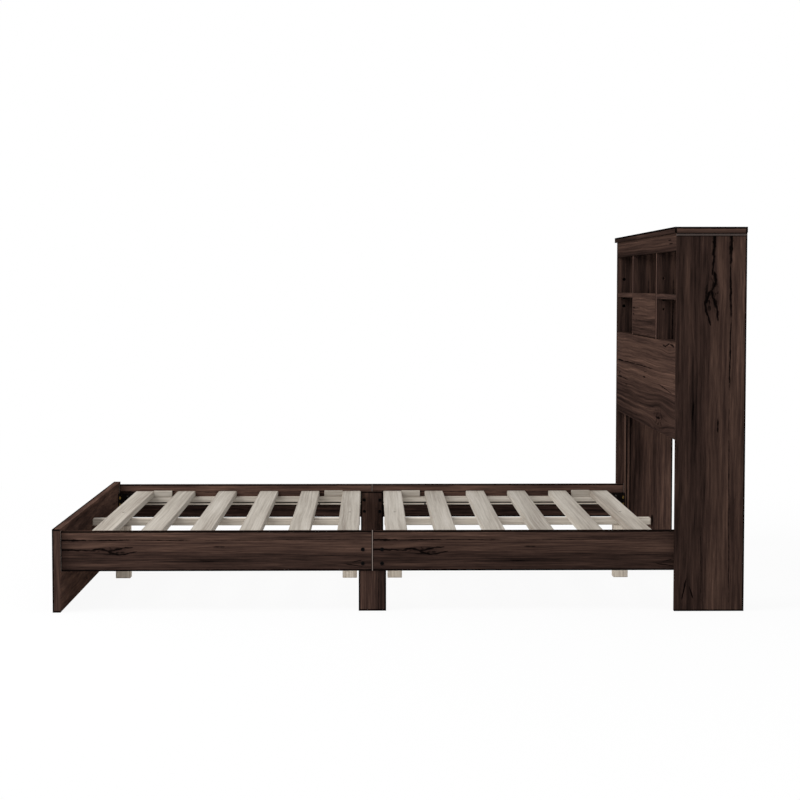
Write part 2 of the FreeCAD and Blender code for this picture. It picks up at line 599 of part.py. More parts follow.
def build_catches():
    """Magnetic catch under the shelf on each side of the finger recess, and its plate."""
    plate_back = FRONT + BOARD + PLATE_THICKNESS
    middle_z = SHELF[0] - CATCH_HEIGHT / 2
    groove_x = (SHELF_FRONT, SHELF_FRONT + CATCH_GROOVE)
    for _, s in SIDES:
        place = about(s * CATCH_OFFSET, CATCH_WIDTH)
        magnet = block((SHELF_FRONT, SHELF_FRONT + CATCH_DEPTH), place, (SHELF[0] - CATCH_HEIGHT, SHELF[0]))
        for up in (-1, 1):
            groove = block(groove_x, about(s * CATCH_OFFSET, PLATE_WIDTH),
                           span(middle_z, up, CATCH_POLE / 2, CATCH_POLE))
            magnet = magnet.cut(groove)
        add("catch_magnets", magnet)
        add("catch_plates", block((FRONT + BOARD, plate_back), about(s * CATCH_OFFSET, PLATE_WIDTH),
                                  about(middle_z, PLATE_HEIGHT)))


def write_parts():
    """One file for each piece, or group of like pieces, under its own name."""
    os.makedirs("parts", exist_ok=True)
    for name, piece in parts.items():
        shape = Part.makeCompound(piece) if isinstance(piece, list) else piece
        shape.exportStep(f"parts/{name}.step")
    print(f"{len(parts)} nodes, {sum(len(p) if isinstance(p, list) else 1 for p in parts.values())} pieces")


build_footboard()
build_rails()
build_rail_legs()
build_case_boards()
build_brackets()
build_ledgers()
build_side_beams()
build_centre_beams()
build_slats()
build_centre_legs()
build_frame_blocks()
build_dividers()
build_shelves()
build_shelf_pegs()
build_cam_joints()
build_door()
build_door_pivots()
build_catches()
write_parts()
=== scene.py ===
"""Full-size bookcase bed: dark walnut-print laminate boards round a bare pine slatted base."""
import math

import bmesh
import bpy
import numpy as np
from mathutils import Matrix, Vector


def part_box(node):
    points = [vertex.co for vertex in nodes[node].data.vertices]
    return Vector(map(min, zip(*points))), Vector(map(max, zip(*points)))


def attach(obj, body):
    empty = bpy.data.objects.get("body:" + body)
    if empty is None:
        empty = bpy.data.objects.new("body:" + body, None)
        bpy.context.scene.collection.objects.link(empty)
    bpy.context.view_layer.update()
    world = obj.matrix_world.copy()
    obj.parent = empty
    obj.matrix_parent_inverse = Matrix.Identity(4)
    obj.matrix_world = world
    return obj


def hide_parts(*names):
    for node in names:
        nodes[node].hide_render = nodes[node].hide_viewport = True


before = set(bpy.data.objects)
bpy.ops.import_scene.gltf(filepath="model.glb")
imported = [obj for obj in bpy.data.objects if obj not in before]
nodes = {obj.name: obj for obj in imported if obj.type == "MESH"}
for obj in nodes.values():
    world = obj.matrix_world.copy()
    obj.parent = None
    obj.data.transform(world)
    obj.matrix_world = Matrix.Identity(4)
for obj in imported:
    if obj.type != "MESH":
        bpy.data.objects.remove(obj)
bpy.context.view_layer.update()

# ---- The camera ----------------------------------------------------------------------------
# It stands six metres off the right-hand rail and a metre above the floor, a little past the
# bed's middle towards the foot, and looks slightly down and towards the headboard.
EYE = (-0.0871, -6.698, 1.020)
LOOK_DOWN = 0.05966
LOOK_RIGHT = 0.01512
FOCAL_PIXELS = 1925.0
PICTURE_PIXELS = 800.0

camera = bpy.data.objects.new("camera", bpy.data.cameras.new("camera"))
bpy.context.scene.collection.objects.link(camera)
camera.location = EYE
camera.rotation_euler = (math.pi / 2 - LOOK_DOWN, 0.0, -LOOK_RIGHT)
camera.data.sensor_width = 36.0
camera.data.lens = camera.data.sensor_width * FOCAL_PIXELS / PICTURE_PIXELS
camera.data.clip_end = 100.0
bpy.context.scene.camera = camera
bpy.context.scene.view_settings.view_transform = "Standard"


# ---- The studio ----------------------------------------------------------------------------
# A pale seamless floor under an even dome, grey where it lights the bed and white where it is
# seen. One broad soft lamp, high beyond the foot, lights the headboard's front more than the
# bed's long side.
def put(tree, kind, settings=None, **inputs):
    """One shader node, with its settings and its inputs' values or links by their names."""
    node = tree.nodes.new(kind)
    for name, value in (settings or {}).items():
        setattr(node, name, value)
    for name, value in inputs.items():
        socket = node.inputs[int(name[1:]) if name[1:].isdigit() else name.replace("_", " ")]
        if isinstance(value, bpy.types.NodeSocket):
            tree.links.new(value, socket)
        else:
            socket.default_value = value
    return node


def maths(tree, operation, *values, clamp=False):
    """The result of one sum on numbers or sockets."""
    inputs = {f"i{i}": value for i, value in enumerate(values)}
    settings = {"operation": operation, "use_clamp": clamp}
    return put(tree, "ShaderNodeMath", settings, **inputs).outputs[0]


def colour(red, green, blue):
    """A colour as the picture shows it, 0 to 255, made linear for the shader."""
    parts = [value / 255 for value in (red, green, blue)]
    return tuple(v / 12.92 if v < 0.04045 else ((v + 0.055) / 1.055) ** 2.4 for v in parts) + (1.0,)


def new_material(name):
    """An empty material with its surface shader, ready for its pattern."""
    material = bpy.data.materials.new(name)
    material.use_nodes = True
    return material, material.node_tree, material.node_tree.nodes["Principled BSDF"]


def vectors(tree, operation, *values, **named):
    """One vector sum, as its node."""
    inputs = {f"i{i}": value for i, value in enumerate(values)}
    return put(tree, "ShaderNodeVectorMath", {"operation": operation}, **inputs, **named)


def fade(tree, value, start, stop, low=0.0, high=1.0):
    """A smooth step from low to high as the value goes from start to stop."""
    return put(tree, "ShaderNodeMapRange", {"interpolation_type": "SMOOTHSTEP"}, Value=value,
               From_Min=start, From_Max=stop, To_Min=low, To_Max=high).outputs["Result"]


def mix(tree, share, first, second):
    """The second colour over the first by a share."""
    inputs = {"i0": share, "i6": first, "i7": second}
    return put(tree, "ShaderNodeMix", {"data_type": "RGBA"}, **inputs).outputs[2]


def seen_white(tree):
    """One where the camera, a gloss or a clear piece looks straight at the studio, else nothing."""
    rays = put(tree, "ShaderNodeLightPath").outputs
    mirrored = maths(tree, "MAXIMUM", rays["Is Glossy Ray"], rays["Is Transmission Ray"])
    return maths(tree, "MAXIMUM", rays["Is Camera Ray"], mirrored)


floor_material, tree, surface = new_material("studio_floor")
surface.inputs["Roughness"].default_value = 0.9
surface.inputs["Specular IOR Level"].default_value = 0.1
where = put(tree, "ShaderNodeTexCoord").outputs["Object"]
speck = put(tree, "ShaderNodeTexNoise", Vector=where, Scale=3.0, Detail=2.0).outputs["Fac"]
tree.links.new(mix(tree, speck, (0.90, 0.90, 0.90, 1.0), (0.92, 0.92, 0.92, 1.0)),
               surface.inputs["Base Color"])
# the floor is seen as plain white, but for a share of its own shade near the bed, for the shadow
SHADOW_END, WHITE_FROM, WHITE_SHARE = 1.2, 3.5, 0.92
glow = put(tree, "ShaderNodeEmission", Color=(1.0, 1.0, 1.0, 1.0), Strength=1.0)
away = vectors(tree, "LENGTH", where).outputs["Value"]
white = maths(tree, "MULTIPLY", seen_white(tree),
              fade(tree, away, SHADOW_END, WHITE_FROM, WHITE_SHARE, 1.0))
lit = put(tree, "ShaderNodeMixShader", Fac=white, i1=surface.outputs[0], i2=glow.outputs[0])
tree.links.new(lit.outputs[0], tree.nodes["Material Output"].inputs["Surface"])
FLOOR_REACH = 30.0
floor_mesh = bpy.data.meshes.new("floor")
corners = [(x * FLOOR_REACH, y * FLOOR_REACH, 0) for x, y in ((-1, -1), (1, -1), (1, 1), (-1, 1))]
floor_mesh.from_pydata(corners, [], [(0, 1, 2, 3)])
floor = bpy.data.objects.new("floor", floor_mesh)
bpy.context.scene.collection.objects.link(floor)
floor_mesh.materials.append(floor_material)

world = bpy.data.worlds.new("studio")
bpy.context.scene.world = world
world.use_nodes = True
tree = world.node_tree
background = tree.nodes["Background"]
tree.links.new(mix(tree, seen_white(tree), (0.62, 0.62, 0.63, 1.0), (1.0, 1.0, 1.0, 1.0)),
               background.inputs["Color"])

key = bpy.data.objects.new("key_lamp", bpy.data.lights.new("key_lamp", "AREA"))
bpy.context.scene.collection.objects.link(key)
key.data.shape = "RECTANGLE"
key.data.size = 5.0
key.data.size_y = 4.0
key.data.energy = 420.0
key.location = (-5.5, -2.5, 4.8)
key.rotation_euler = (0.0, math.radians(-52.0), math.radians(20.0))


# ---- Walnut-print laminate -----------------------------------------------------------------
# Every dark board is particle board wrapped in a printed sheet. The four rails and the right side
# share one picture, whose cracks run from its start into a split knot. The other boards have
# four more pictures between them.
def group(name, inputs, outputs):
    """An empty shader node group with named inputs and outputs, each (name, kind, value)."""
    tree = bpy.data.node_groups.new(name, "ShaderNodeTree")
    for label, kind, value in inputs:
        socket = tree.interface.new_socket(label, in_out="INPUT", socket_type=f"NodeSocket{kind}")
        if value is not None:
            socket.default_value = value
    for label, kind in outputs:
        tree.interface.new_socket(label, in_out="OUTPUT", socket_type=f"NodeSocket{kind}")
    return tree, tree.nodes.new("NodeGroupInput").outputs, tree.nodes.new("NodeGroupOutput").inputs


def noise(tree, place, stretch, detail=2.0, roughness=0.5, seed=0.0, distortion=0.0):
    """Cloudy pattern stretched along the grain: one cell is 1 / stretch metres along each axis."""
    return put(tree, "ShaderNodeTexNoise", {"noise_dimensions": "4D"},
               Vector=vectors(tree, "MULTIPLY", place, stretch).outputs[0], W=seed, Scale=1.0,
               Detail=detail, Roughness=roughness, Distortion=distortion).outputs["Fac"]


def weighed(tree, first, *parts):
    """A value plus each pattern's distance from its middle, times its weight."""
    total = first
    for pattern, weight in parts:
        total = maths(tree, "MULTIPLY_ADD", maths(tree, "SUBTRACT", pattern, 0.5), weight, total)
    return total


def bent(tree, place, cloud, size):
    """The place moved across the grain: the cloud's distance from its middle, times the size."""
    shift = maths(tree, "MULTIPLY", maths(tree, "SUBTRACT", cloud, 0.5), size)
    across = put(tree, "ShaderNodeCombineXYZ", Y=shift).outputs[0]
    return vectors(tree, "ADD", place, across).outputs[0]


def use(tree, pattern, **inputs):
    """One shader group put to use, with its inputs' values or links."""
    return put(tree, "ShaderNodeGroup", {"node_tree": pattern}, **inputs)


# where a sheet lies on a board: along its grain, down across it, and through its thickness
laid, given, result = group(
    "laid_sheet",
    [("Vector", "Vector", None), ("Normal", "Vector", None), ("Along", "Vector", (1, 0, 0)),
     ("Down", "Vector", (0, 0, -1)), ("Edge", "Vector", (0, 0, 1)), ("Corner", "Vector", (0, 0, 0)),
     ("Stretch", "Vector", (1, 1, 1))],
    [("Place", "Vector")])
offset = vectors(laid, "SUBTRACT", given["Vector"], given["Corner"]).outputs[0]
through = vectors(laid, "CROSS_PRODUCT", given["Along"], given["Down"]).outputs[0]
across_edge = vectors(laid, "CROSS_PRODUCT", given["Along"], given["Edge"]).outputs[0]


def lay(along, down, deep):
    """The offset measured along three directions."""
    return put(laid, "ShaderNodeCombineXYZ",
               X=vectors(laid, "DOT_PRODUCT", offset, along).outputs["Value"],
               Y=vectors(laid, "DOT_PRODUCT", offset, down).outputs["Value"],
               Z=vectors(laid, "DOT_PRODUCT", offset, deep).outputs["Value"]).outputs[0]


END_START = (0.3, 0.03, 0.0)      # the place in the picture that a board's ends begin at
measured = lay(given["Along"], given["Down"], through)
face_place = vectors(laid, "DIVIDE", measured, given["Stretch"]).outputs[0]
end_place = vectors(laid, "ADD", lay(given["Edge"], across_edge, given["Along"]), END_START).outputs[0]
facing_along = vectors(laid, "DOT_PRODUCT", given["Normal"], given["Along"]).outputs["Value"]
on_end = maths(laid, "GREATER_THAN", maths(laid, "ABSOLUTE", facing_along), 0.7)
picked = put(laid, "ShaderNodeMix", {"data_type": "VECTOR"}, i0=on_end, i4=face_place, i5=end_place)
laid.links.new(picked.outputs[1], result["Place"])

# grain parts round a knot as water does round a stone
swirl, given, result = group(
    "knot_swirl",
    [("Place", "Vector", None), ("Centre", "Vector", (0, 0, 0)), ("Reach", "Vector", (0.06, 0.02, 1)),
     ("Push", "Float", 0.7)],
    [("Place", "Vector"), ("Near", "Float")])
gap = vectors(swirl, "SUBTRACT", given["Place"], given["Centre"]).outputs[0]
share = vectors(swirl, "DIVIDE", gap, given["Reach"]).outputs[0]
spread = vectors(swirl, "MULTIPLY", share, (1, 1, 0)).outputs[0]
squared = vectors(swirl, "DOT_PRODUCT", spread, spread).outputs["Value"]
near = maths(swirl, "EXPONENT", maths(swirl, "MULTIPLY", squared, -0.5))
across = put(swirl, "ShaderNodeSeparateXYZ", Vector=gap).outputs["Y"]
pushed = maths(swirl, "MULTIPLY", maths(swirl, "MULTIPLY", across, near), given["Push"])
shift = put(swirl, "ShaderNodeCombineXYZ", Y=pushed).outputs[0]
swirl.links.new(vectors(swirl, "SUBTRACT", given["Place"], shift).outputs[0], result["Place"])
swirl.links.new(near, result["Near"])

# one straight crack, widest at its middle: dark where the distance from its line is under its width
split, given, result = group(
    "grain_split",
    [("Place", "Vector", None), ("Middle", "Vector", (0, 0, 0)), ("Lengthways", "Vector", (1, 0, 0)),
     ("Crossways", "Vector", (0, 1, 0)), ("Ragged", "Float", 1.0)],
    [("Dark", "Float")])
gap = vectors(split, "SUBTRACT", given["Place"], given["Middle"]).outputs[0]
lengthways = vectors(split, "DOT_PRODUCT", gap, given["Lengthways"]).outputs["Value"]
crossways = vectors(split, "DOT_PRODUCT", gap, given["Crossways"]).outputs["Value"]
narrowing = maths(split, "POWER", maths(split, "ABSOLUTE", lengthways), 4.0)
taper = maths(split, "SUBTRACT", given["Ragged"], narrowing)
inside = maths(split, "SUBTRACT", taper, maths(split, "ABSOLUTE", crossways))
split.links.new(maths(split, "MULTIPLY", inside, 1.8, clamp=True), result["Dark"])

# the plain grain: light towards the picture's upper edge, dark towards its lower one, and streaked
grain, given, result = group(
    "walnut_grain", [("Place", "Vector", None), ("Fine", "Vector", (1, 1, 1)), ("Seed", "Float", 0.0)],
    [("Tone", "Float"), ("Fibre", "Float")])
GRAIN_BEND, CRACK_SWAY = 0.011, 0.0018
cloud = noise(grain, given["Place"], (2.6, 14.0, 3.0), seed=given["Seed"])
place = bent(grain, given["Place"], cloud, GRAIN_BEND)
down = put(grain, "ShaderNodeSeparateXYZ", Vector=place).outputs["Y"]
place = vectors(grain, "MULTIPLY", place, given["Fine"]).outputs[0]
bands = noise(grain, place, (1.6, 42.0, 14.0), detail=2.0, seed=given["Seed"])
streaks = noise(grain, place, (5.0, 170.0, 60.0), detail=3.0, roughness=0.6, seed=given["Seed"])
fibres = noise(grain, place, (22.0, 620.0, 300.0), detail=2.0, roughness=0.6, seed=given["Seed"])
pinholes = noise(grain, place, (40.0, 900.0, 400.0), detail=1.0, seed=given["Seed"])
pores = fade(grain, pinholes, 0.60, 0.72)
ground = fade(grain, down, 0.045, 0.100, 0.53, 0.31)
grain.links.new(weighed(grain, ground, (bands, 0.80), (streaks, 1.15), (fibres, 0.50), (pores, -0.10)),
                result["Tone"])
grain.links.new(fibres, result["Fibre"])


def printed_sheet(name, knots, cracks, fine=(1.0, 1.0)):
    """One picture: knots as (place, reach, push, heart), cracks as (start, stop, width), in metres."""
    sheet, given, result = group(
        name, [("Place", "Vector", None), ("Seed", "Float", 0.0), ("Shade", "Float", 1.0)],
        [("Color", "Color"), ("Roughness", "Float"), ("Height", "Float")])
    place = given["Place"]
    near = 0.0
    for centre, reach, push, heart in knots:
        knot = use(sheet, swirl, Place=place, Centre=(*centre, 0.0), Reach=(*reach, 1.0), Push=push)
        place = knot.outputs["Place"]
        near = maths(sheet, "MAXIMUM", near, maths(sheet, "MULTIPLY", knot.outputs["Near"], heart))
    wood = use(sheet, grain, Place=place, Fine=(*fine, 1.0), Seed=given["Seed"]).outputs
    tone = maths(sheet, "SUBTRACT", wood["Tone"], maths(sheet, "MULTIPLY", near, 0.10), clamp=True)
    ramp = put(sheet, "ShaderNodeValToRGB", Fac=tone)
    ramp.color_ramp.elements[0].color = colour(20, 14, 13)
    ramp.color_ramp.elements[1].color = colour(104, 79, 68)
    for stop, tint in ((0.22, colour(33, 24, 21)), (0.48, colour(54, 40, 35)), (0.72, colour(74, 56, 48))):
        ramp.color_ramp.elements.new(stop).color = tint
    crumbs = noise(sheet, place, (60.0, 200.0, 60.0), detail=2.0, roughness=0.6)
    ragged = fade(sheet, crumbs, 0.30, 0.65, 1.20, 0.70)
    drawn = bent(sheet, given["Place"], noise(sheet, place, (22.0, 12.0, 3.0)), CRACK_SWAY)
    dark = 0.0
    for start, stop, width in cracks:
        start, stop = np.array(start), np.array(stop)
        half = (stop - start) / 2
        length = np.hypot(*half)
        unit = half / length
        crack = use(sheet, split, Place=drawn, Middle=(*(start + half), 0.0), Ragged=ragged,
                    Lengthways=(*(unit / length), 0.0),
                    Crossways=(-unit[1] / width, unit[0] / width, 0.0))
        dark = maths(sheet, "MAXIMUM", dark, crack.outputs["Dark"])
    lumps = noise(sheet, given["Place"], (50.0, 170.0, 60.0), roughness=0.6)
    blots = maths(sheet, "MULTIPLY", fade(sheet, near, 0.45, 0.80), fade(sheet, lumps, 0.50, 0.58))
    dark = maths(sheet, "MAXIMUM", dark, maths(sheet, "MULTIPLY", blots, 0.85))
    flecks = fade(sheet, noise(sheet, place, (9.0, 190.0, 90.0), seed=given["Seed"]), 0.66, 0.76)
    dark = maths(sheet, "MAXIMUM", dark, maths(sheet, "MULTIPLY", flecks, 0.6))
    inked = mix(sheet, maths(sheet, "MULTIPLY", dark, 0.96), ramp.outputs["Color"], colour(6, 4, 4))
    shaded = vectors(sheet, "SCALE", inked, Scale=given["Shade"]).outputs[0]
    raised = maths(sheet, "SUBTRACT", maths(sheet, "MULTIPLY", wood["Fibre"], 0.35), dark)
    sheet.links.new(shaded, result["Color"])
    sheet.links.new(weighed(sheet, 0.78, (wood["Fibre"], 0.20)), result["Roughness"])
    sheet.links.new(raised, result["Height"])
    return sheet


# every picture is drawn at the size of one rail, and stretched to its board or to the size given
PICTURE = (0.973, 0.126)
long_sheet = printed_sheet(
    "long_board_print",
    [((0.160, 0.063), (0.045, 0.013), 0.60, 1.0), ((0.500, 0.050), (0.040, 0.008), 0.45, 0.0)],
    [((-0.04, 0.0275), (0.095, 0.0295), 0.0046), ((0.070, 0.0300), (0.230, 0.0275), 0.0030),
     ((0.200, 0.0275), (0.420, 0.0300), 0.0020), ((0.400, 0.0300), (1.000, 0.0270), 0.0011),
     ((-0.04, 0.0585), (0.085, 0.0600), 0.0045), ((0.060, 0.0600), (0.112, 0.0625), 0.0026),
     ((0.096, 0.0590), (0.132, 0.0550), 0.0042), ((0.122, 0.0545), (0.152, 0.0640), 0.0046),
     ((0.142, 0.0640), (0.174, 0.0600), 0.0040), ((0.160, 0.0605), (0.198, 0.0540), 0.0044),
     ((0.180, 0.0540), (0.230, 0.0515), 0.0030), ((0.142, 0.0640), (0.186, 0.0755), 0.0040),
     ((0.172, 0.0760), (0.212, 0.0715), 0.0034), ((0.200, 0.0720), (0.240, 0.0640), 0.0022),
     ((0.470, 0.0502), (0.515, 0.0492), 0.0022), ((0.428, 0.0940), (0.482, 0.0960), 0.0022),
     ((0.720, 0.0790), (0.980, 0.0770), 0.0010), ((0.885, 0.1040), (0.945, 0.1130), 0.0022),
     ((0.905, 0.1000), (0.942, 0.0920), 0.0018)])
front_sheet = printed_sheet(
    "front_panel_print",
    [((0.742, 0.108), (0.090, 0.016), 0.80, 0.8), ((0.860, 0.004), (0.060, 0.010), 0.5, 0.0)],
    [((0.010, 0.0435), (0.150, 0.0430), 0.0020), ((0.130, 0.0430), (0.360, 0.0425), 0.0012),
     ((0.340, 0.0425), (0.680, 0.0420), 0.0010), ((0.040, 0.0660), (0.075, 0.0600), 0.0018),
     ((0.020, 0.0690), (0.120, 0.0690), 0.0019), ((0.100, 0.0690), (0.230, 0.0705), 0.0009),
     ((0.490, 0.0575), (0.530, 0.0572), 0.0016), ((0.790, 0.0060), (0.850, 0.0080), 0.0021),
     ((0.836, 0.0072), (0.895, 0.0020), 0.0017), ((0.895, 0.0030), (0.960, 0.0060), 0.0021),
     ((0.720, 0.0600), (0.940, 0.0680), 0.0010), ((0.700, 0.1085), (0.775, 0.1065), 0.0024)], (0.40, 2.0))
door_sheet = printed_sheet(
    "door_print", [((0.300, 0.055), (0.200, 0.012), 0.4, 0.0)],
    [((-0.02, 0.0440), (0.150, 0.0445), 0.0028), ((0.120, 0.0445), (0.340, 0.0430), 0.0014),
     ((0.020, 0.0620), (0.080, 0.0630), 0.0036)], (0.18, 1.1))
plain_sheet = printed_sheet(
    "plain_board_print", [((0.560, 0.070), (0.050, 0.010), 0.5, 0.0)],
    [((0.860, 0.0450), (0.910, 0.0450), 0.0030), ((0.300, 0.0900), (0.620, 0.0930), 0.0014),
     ((0.100, 0.0180), (0.340, 0.0170), 0.0012)])
level_sheet = printed_sheet(
    "cross_board_print", [],
    [((0.860, 0.0450), (0.910, 0.0450), 0.0060), ((0.870, 0.0700), (0.930, 0.0710), 0.0060)],
    (0.35, 0.5))

# a black line follows a board's outer edges, drawn wider than a real one would be so that it shows:
# a point's distance from the nearest edge is the second least of its distances from the faces
edges, given, result = group(
    "board_edges", [("Vector", "Vector", None), ("Low", "Vector", None), ("High", "Vector", None),
                    ("Width", "Float", 0.0022)], [("Edge", "Float")])
margin = vectors(edges, "MINIMUM", vectors(edges, "SUBTRACT", given["Vector"], given["Low"]).outputs[0],
                 vectors(edges, "SUBTRACT", given["High"], given["Vector"]).outputs[0])
x, y, z = put(edges, "ShaderNodeSeparateXYZ", Vector=margin.outputs[0]).outputs
second = maths(edges, "MAXIMUM", maths(edges, "MINIMUM", x, y),
               maths(edges, "MINIMUM", maths(edges, "MAXIMUM", x, y), z))
cloud = noise(edges, given["Vector"], (60.0, 60.0, 60.0))
ragged = maths(edges, "MULTIPLY", given["Width"], fade(edges, cloud, 0.3, 0.7, 0.9, 1.1))
edges.links.new(fade(edges, maths(edges, "DIVIDE", second, ragged), 1.05, 0.75), result["Edge"])

# a cut end: a pale hairline at the joint, and a painted shadow line beside it
CUT_LINE = 0.003
cut_end_lines, given, result = group(
    "cut_end", [("Vector", "Vector", None), ("Direction", "Vector", (1, 0, 0)), ("End", "Float", 0.0),
                ("Near", "Float", 0.0), ("Far", "Float", 0.0016)], [("Pale", "Float"), ("Dark", "Float")])
reached = vectors(cut_end_lines, "DOT_PRODUCT", given["Vector"], given["Direction"]).outputs["Value"]
depth = maths(cut_end_lines, "ABSOLUTE", maths(cut_end_lines, "SUBTRACT", reached, given["End"]))
pale = maths(cut_end_lines, "MULTIPLY", maths(cut_end_lines, "GREATER_THAN", depth, given["Near"]),
             maths(cut_end_lines, "LESS_THAN", depth, given["Far"]))
cut_end_lines.links.new(pale, result["Pale"])
cut_end_lines.links.new(maths(cut_end_lines, "LESS_THAN", depth, maths(cut_end_lines, "ADD", given["Far"], CUT_LINE)),
               result["Dark"])


def dress(node, material):
    """Give one carried-over piece its finish."""
    mesh = nodes[node].data
    mesh.materials.clear()
    mesh.materials.append(material)


EDGE_LINE, TOP_EDGE_LINE = 0.0056, 0.0070
HOLE_OUTSIDE, HOLE_INSIDE = 0.0066, 0.0056


def laminate(node, along, down, edge, sheet=plain_sheet, seed=0.0, shade=1.0, arris=EDGE_LINE,
             hidden=(), cut_ends=(), holes=(), picture=None, start=(0.0, 0.0), painted_light_faces=()):
    """Print on one board, from the corner where its grain and its width both begin.

    All boards have one real colour: the shade is painted light that makes a whole board lighter or
    darker, and faces turned one way can be painted lighter still, to make up for this studio's light.

    The picture is fitted to the board, or to the size given, from a place in the picture. The
    hidden faces (axis, side) have no black edge, cut ends are (axis, side, near, far, colour) with a
    painted shadow line beside each, holes (along x, up z) get painted shade round their mouths, and
    faces painted lighter are (axis, side, times).
    """
    material, tree, surface = new_material(node + "_laminate")
    where = put(tree, "ShaderNodeTexCoord").outputs
    low, high = (np.array(v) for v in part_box(node))
    along, down = np.array(along, float), np.array(down, float)
    fitted = picture or (abs(along @ (high - low)), abs(down @ (high - low)))
    stretch = (fitted[0] / PICTURE[0], fitted[1] / PICTURE[1], 1.0)
    skipped = along * start[0] * stretch[0] + down * start[1] * stretch[1]
    corner = np.where(along + down < 0, high, low) - skipped
    place = use(tree, laid, Vector=where["Object"], Normal=where["Normal"], Along=along, Down=down,
                Edge=edge, Corner=corner, Stretch=stretch).outputs[0]
    # painted light: faces turned the given way are coloured lighter, by the times given
    for axis, side, times in painted_light_faces:
        facing = [(2.0 * side - 1.0) * (i == axis) for i in range(3)]
        towards = vectors(tree, "DOT_PRODUCT", where["Normal"], facing).outputs["Value"]
        shade = maths(tree, "MULTIPLY", shade, fade(tree, towards, 0.6, 0.8, 1.0, times))
    printed = use(tree, sheet, Place=place, Seed=seed, Shade=shade).outputs
    finish = printed["Color"]
    if arris:
        outer = [low.copy(), high.copy()]
        for axis, side in hidden:
            outer[side][axis] += 2 * side - 1
        rim = use(tree, edges, Vector=where["Object"], Low=outer[0], High=outer[1], Width=arris)
        line = maths(tree, "MULTIPLY", rim.outputs[0], 0.93)
        finish = mix(tree, line, finish, colour(5, 4, 4))
    for axis, side, near, far, tint in cut_ends:
        facing = [float(i == axis) for i in range(3)]
        end = use(tree, cut_end_lines, Vector=where["Object"], Direction=facing, Near=near, Far=far,
                  End=float((low, high)[side][axis])).outputs
        # painted shadow beside the cut end, with the pale hairline laid over it
        finish = mix(tree, maths(tree, "MULTIPLY", end["Dark"], 0.6), finish, colour(12, 9, 8))
        finish = mix(tree, end["Pale"], finish, colour(*tint))
    # painted shade in the holes: a dark disc round each mouth, through the whole board
    for x, z in holes:
        away = vectors(tree, "SUBTRACT", where["Object"], (x, 0.0, z)).outputs[0]
        beside = vectors(tree, "MULTIPLY", away, (1, 0, 1)).outputs[0]
        distance = vectors(tree, "LENGTH", beside).outputs["Value"]
        hole_shade = fade(tree, distance, HOLE_OUTSIDE, HOLE_INSIDE)
        finish = mix(tree, hole_shade, finish, colour(4, 3, 3))
    tree.links.new(finish, surface.inputs["Base Color"])
    tree.links.new(printed["Roughness"], surface.inputs["Roughness"])
    surface.inputs["Specular IOR Level"].default_value = 0.0
    bump = put(tree, "ShaderNodeBump", Strength=0.25, Distance=0.0006, Height=printed["Height"])
    tree.links.new(bump.outputs[0], surface.inputs["Normal"])
    dress(node, material)


# ---- Footboard -----------------------------------------------------------------------------
# One 24 mm board across the foot that stands on the floor. Its grain runs across the bed, and
# the band on its ends has upright grain. Its inner face and its top are coloured paler, as
# painted light.
laminate("footboard", (0, 1, 0), (0, 0, -1), (0, 0, 1), seed=3.0, picture=(1.476, 0.45),
         start=(0.1, -0.02), shade=1.12, hidden=((0, 1),), painted_light_faces=((0, 1, 1.3), (2, 1, 1.35)))

# ---- Side rails ----------------------------------------------------------------------------
# Two boards end to end on each side. Each starts with the print's cracks and knot at its foot
# end, and a pale hairline is coloured at its cut ends, with a painted shadow line beside it. The
# far rails are coloured much paler, as painted light.
RAIL_CUT = (-1.0, 0.0012, (134, 122, 115))
for side, seed, shades in (("left", 1.7, (1.8, 1.8)), ("right", 0.0, (1.22, 1.08))):
    for end, shade in zip(("foot", "head"), shades):
        laminate(f"rail_{end}_{side}", (1, 0, 0), (0, 0, -1), (0, 0, 1), long_sheet, seed=seed,
                 shade=shade, hidden=((0, 0), (0, 1)),
                 cut_ends=[(0, face, *RAIL_CUT) for face in (0, 1)])

# ---- Rail legs -----------------------------------------------------------------------------
# A short upright board inside each rail joint, bolted to both halves, with a thicker foot under
# the rails.
for side in ("left", "right"):
    laminate(f"rail_leg_{side}", (0, 0, -1), (1, 0, 0), (1, 0, 0), seed=5.0, picture=(0.9, 0.086),
             start=(0.25, 0.0), shade=1.3)

# ---- Headboard sides, leg boards and dividers ----------------------------------------------
# Upright boards with upright grain. A side panel's picture starts at its top and its back edge,
# and a pale line shows on it just under the top board, with painted shadow lines beside it. The
# far one's spare peg holes have painted shade round their mouths, on both of its faces. The far
# panel and the dividers are coloured much paler, and the dividers' front edges paler still, as
# painted light.
PEG_HOLES = ((0.8875, 1.042), (0.8875, 0.940))
SIDE_CUT = (0.0035, 0.0090, (88, 78, 74))
for side, seed, shade, sheet in (("left", 2.0, 1.85, plain_sheet), ("right", 0.0, 1.02, long_sheet)):
    laminate(f"side_panel_{side}", (0, 0, -1), (-1, 0, 0), (1, 0, 0), sheet, seed=seed, shade=shade,
             hidden=((0, 0), (2, 1)), cut_ends=[(2, 1, *SIDE_CUT)],
             holes=PEG_HOLES if side == "left" else ())
    laminate(f"leg_board_{side}", (0, 0, -1), (0, 1, 0), (0, 1, 0), seed=7.0, picture=(1.2, 0.126),
             shade=1.3)
    laminate(f"divider_{side}", (0, 0, -1), (-1, 0, 0), (1, 0, 0), seed=4.0, picture=(1.2, 0.22),
             start=(0.2, 0.0), arris=0.0, shade=1.8, painted_light_faces=((0, 0, 1.9),))

